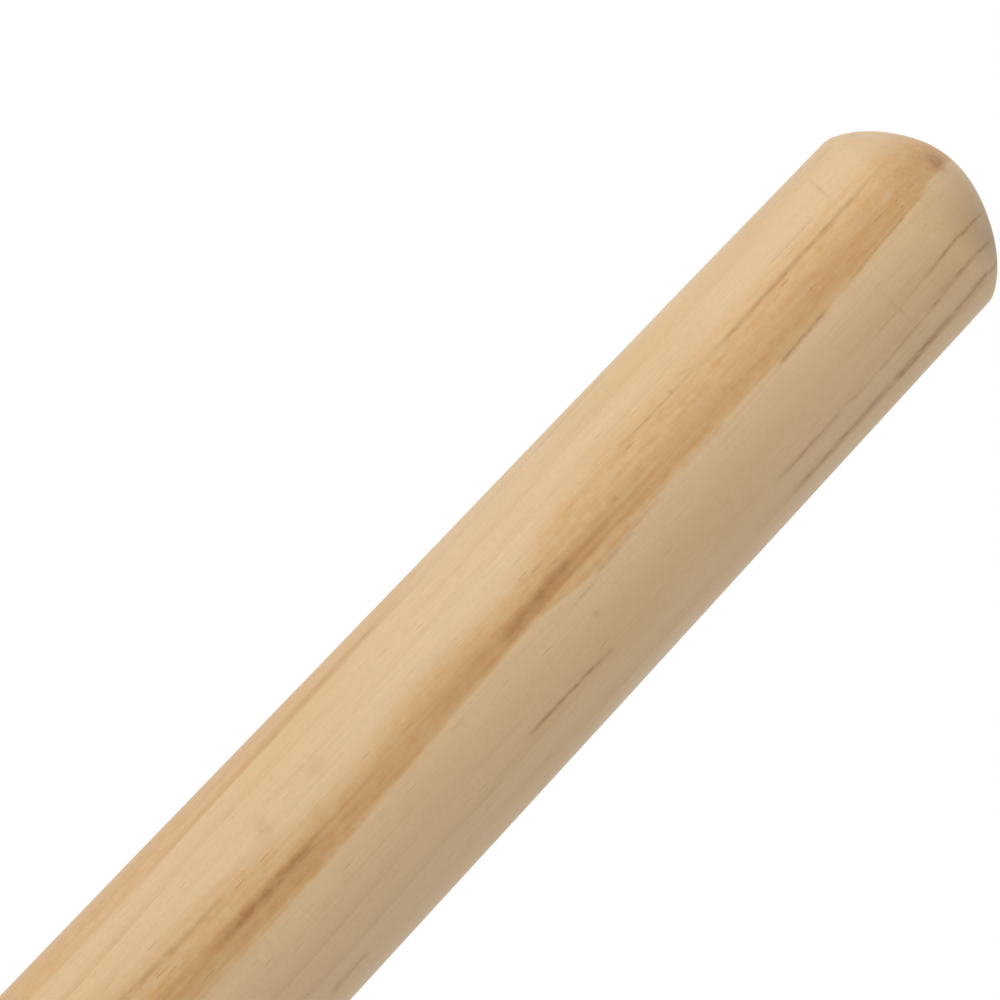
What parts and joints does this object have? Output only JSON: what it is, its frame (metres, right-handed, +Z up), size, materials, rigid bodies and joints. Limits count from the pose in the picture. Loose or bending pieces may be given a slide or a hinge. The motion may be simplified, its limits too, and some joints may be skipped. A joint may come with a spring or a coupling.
{
  "type": "muddler",
  "caption": "Bar muddler: a straight tapered wooden stick with a flat foot for crushing herbs and fruit in a glass and a rounded grip end.",
  "frame": {"origin": "centre of the flat foot, on the surface that the muddler stands on", "axes": "+Z up the stick's axis, from the foot to the rounded grip end; +X and +Y are across the stick, and the middle of the brown heartwood streak faces -Y"},
  "size_m": [0.0284, 0.0284, 0.203],
  "materials": {
    "lacquered_hardwood": "clear satin lacquer over pale, straight-grained hardwood with a brown heartwood streak"
  },
  "bodies": {
    "root": {"turned_body": "lacquered_hardwood"}
  },
  "joints": []
}
